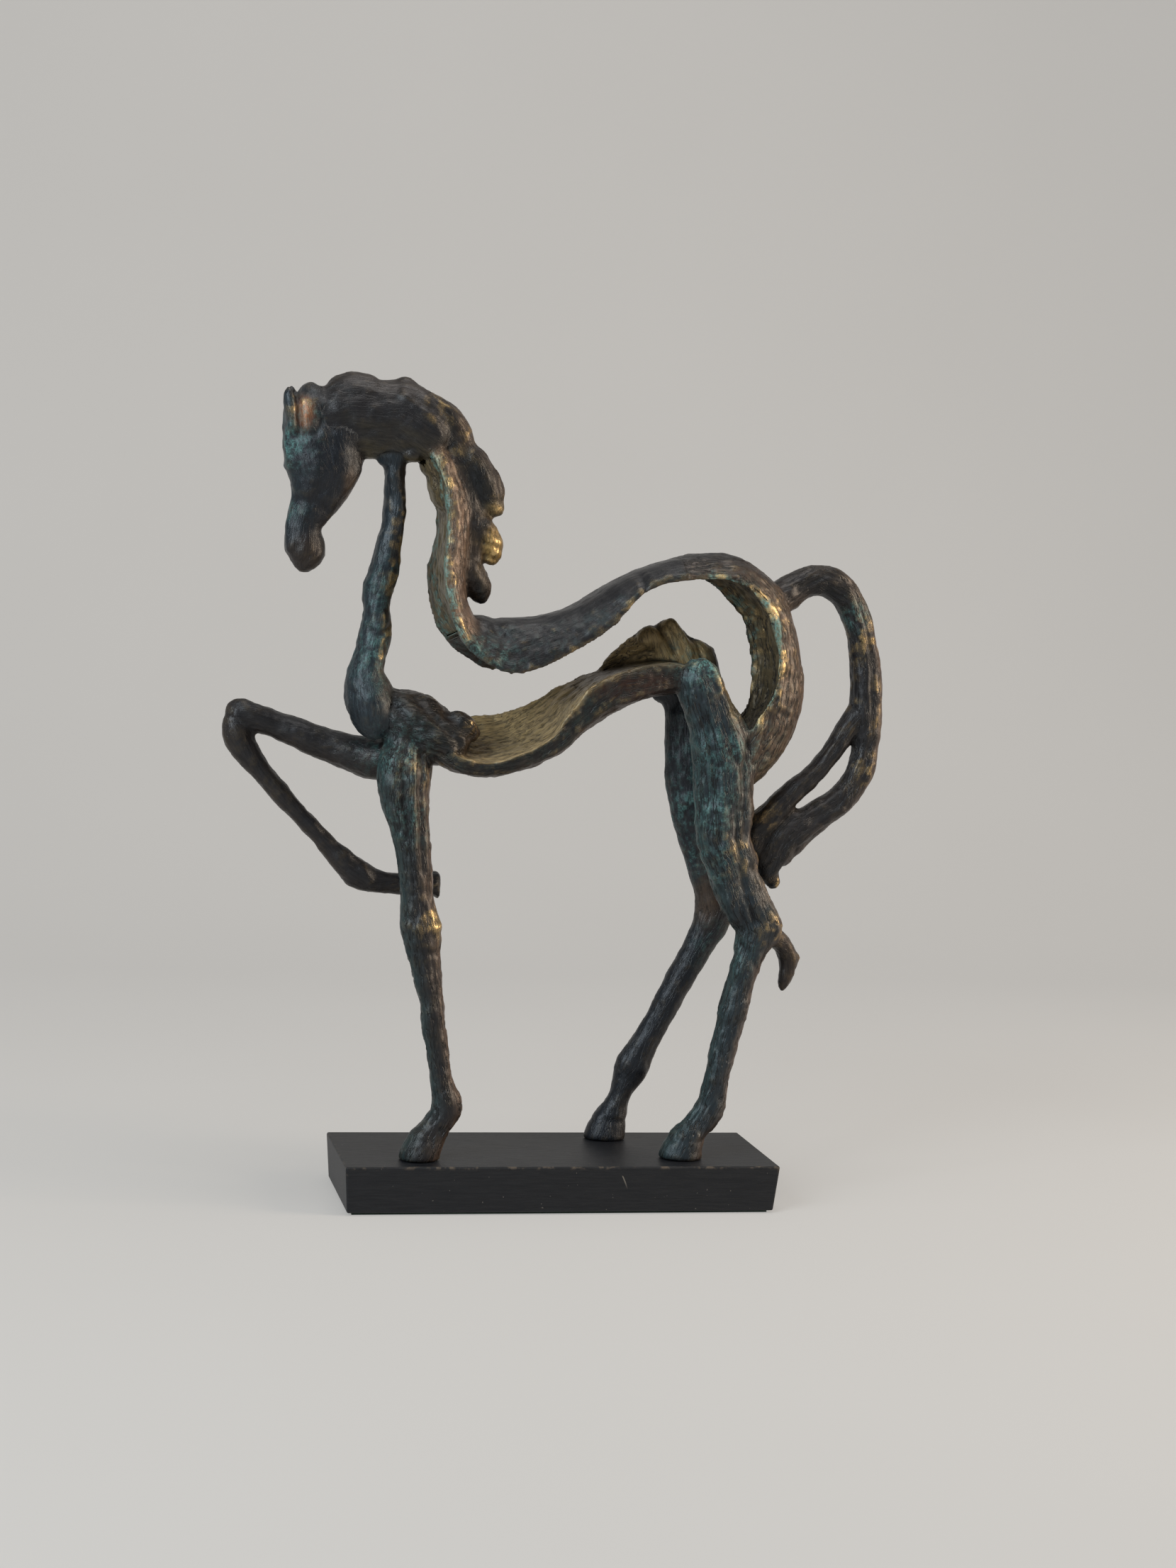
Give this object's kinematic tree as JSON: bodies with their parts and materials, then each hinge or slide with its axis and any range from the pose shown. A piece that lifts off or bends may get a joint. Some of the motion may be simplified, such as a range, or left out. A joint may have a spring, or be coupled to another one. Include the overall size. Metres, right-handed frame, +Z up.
{
  "type": "horse statue",
  "caption": "Striding horse in dark cast bronze, its open body drawn in curved ribbons, one foreleg raised, on a rectangular black wooden plinth.",
  "frame": {"origin": "centre of the felt's underside, where the statue stands", "axes": "+X towards the tail, +Y towards the horse's right side, +Z up"},
  "size_m": [0.3911, 0.087, 0.4743],
  "materials": {
    "head_patina": "cast bronze, dark patina, rubbed on the edges",
    "upper_neck_patina": "cast bronze, dark patina, rubbed on the edges",
    "throat_strand_patina": "cast bronze, dark patina, rubbed on the edges",
    "crest_ribbon_patina": "cast bronze, dark patina, rubbed on the edges",
    "mane_patina": "cast bronze, dark patina, rubbed on the edges",
    "back_ribbon_patina": "cast bronze, dark patina, rubbed on the edges",
    "croup_ribbon_patina": "cast bronze, dark patina, rubbed on the edges",
    "belly_ribbon_patina": "cast bronze, dark patina, rubbed on the edges",
    "right_flank_patina": "cast bronze, dark patina, rubbed on the edges",
    "shoulder_patina": "cast bronze, dark patina, rubbed on the edges",
    "foreleg_left_patina": "cast bronze, dark patina, rubbed on the edges",
    "foreleg_right_patina": "cast bronze, dark patina, rubbed on the edges",
    "hind_leg_left_patina": "cast bronze, dark patina, rubbed on the edges",
    "hind_leg_right_patina": "cast bronze, dark patina, rubbed on the edges",
    "tail_outer_patina": "cast bronze, dark patina, rubbed on the edges",
    "tail_inner_patina": "cast bronze, dark patina, rubbed on the edges",
    "tail_end_lock_patina": "cast bronze, dark patina, rubbed on the edges",
    "stained_wood": "black stain, satin",
    "felt": "green felt",
    "zinc_steel": "zinc plated"
  },
  "bodies": {
    "root": {"head": "head_patina", "upper_neck": "upper_neck_patina", "throat_strand": "throat_strand_patina", "crest_ribbon": "crest_ribbon_patina", "mane": "mane_patina", "back_ribbon": "back_ribbon_patina", "croup_ribbon": "croup_ribbon_patina", "belly_ribbon": "belly_ribbon_patina", "right_flank": "right_flank_patina", "shoulder": "shoulder_patina", "foreleg_left": "foreleg_left_patina", "foreleg_right": "foreleg_right_patina", "hind_leg_left": "hind_leg_left_patina", "hind_leg_right": "hind_leg_right_patina", "tail_outer": "tail_outer_patina", "tail_inner": "tail_inner_patina", "tail_end_lock": "tail_end_lock_patina", "plinth": "stained_wood", "felt_sheet": "felt", "mounting_studs": "zinc_steel", "washers": "zinc_steel", "nuts": "zinc_steel"}
  },
  "joints": []
}
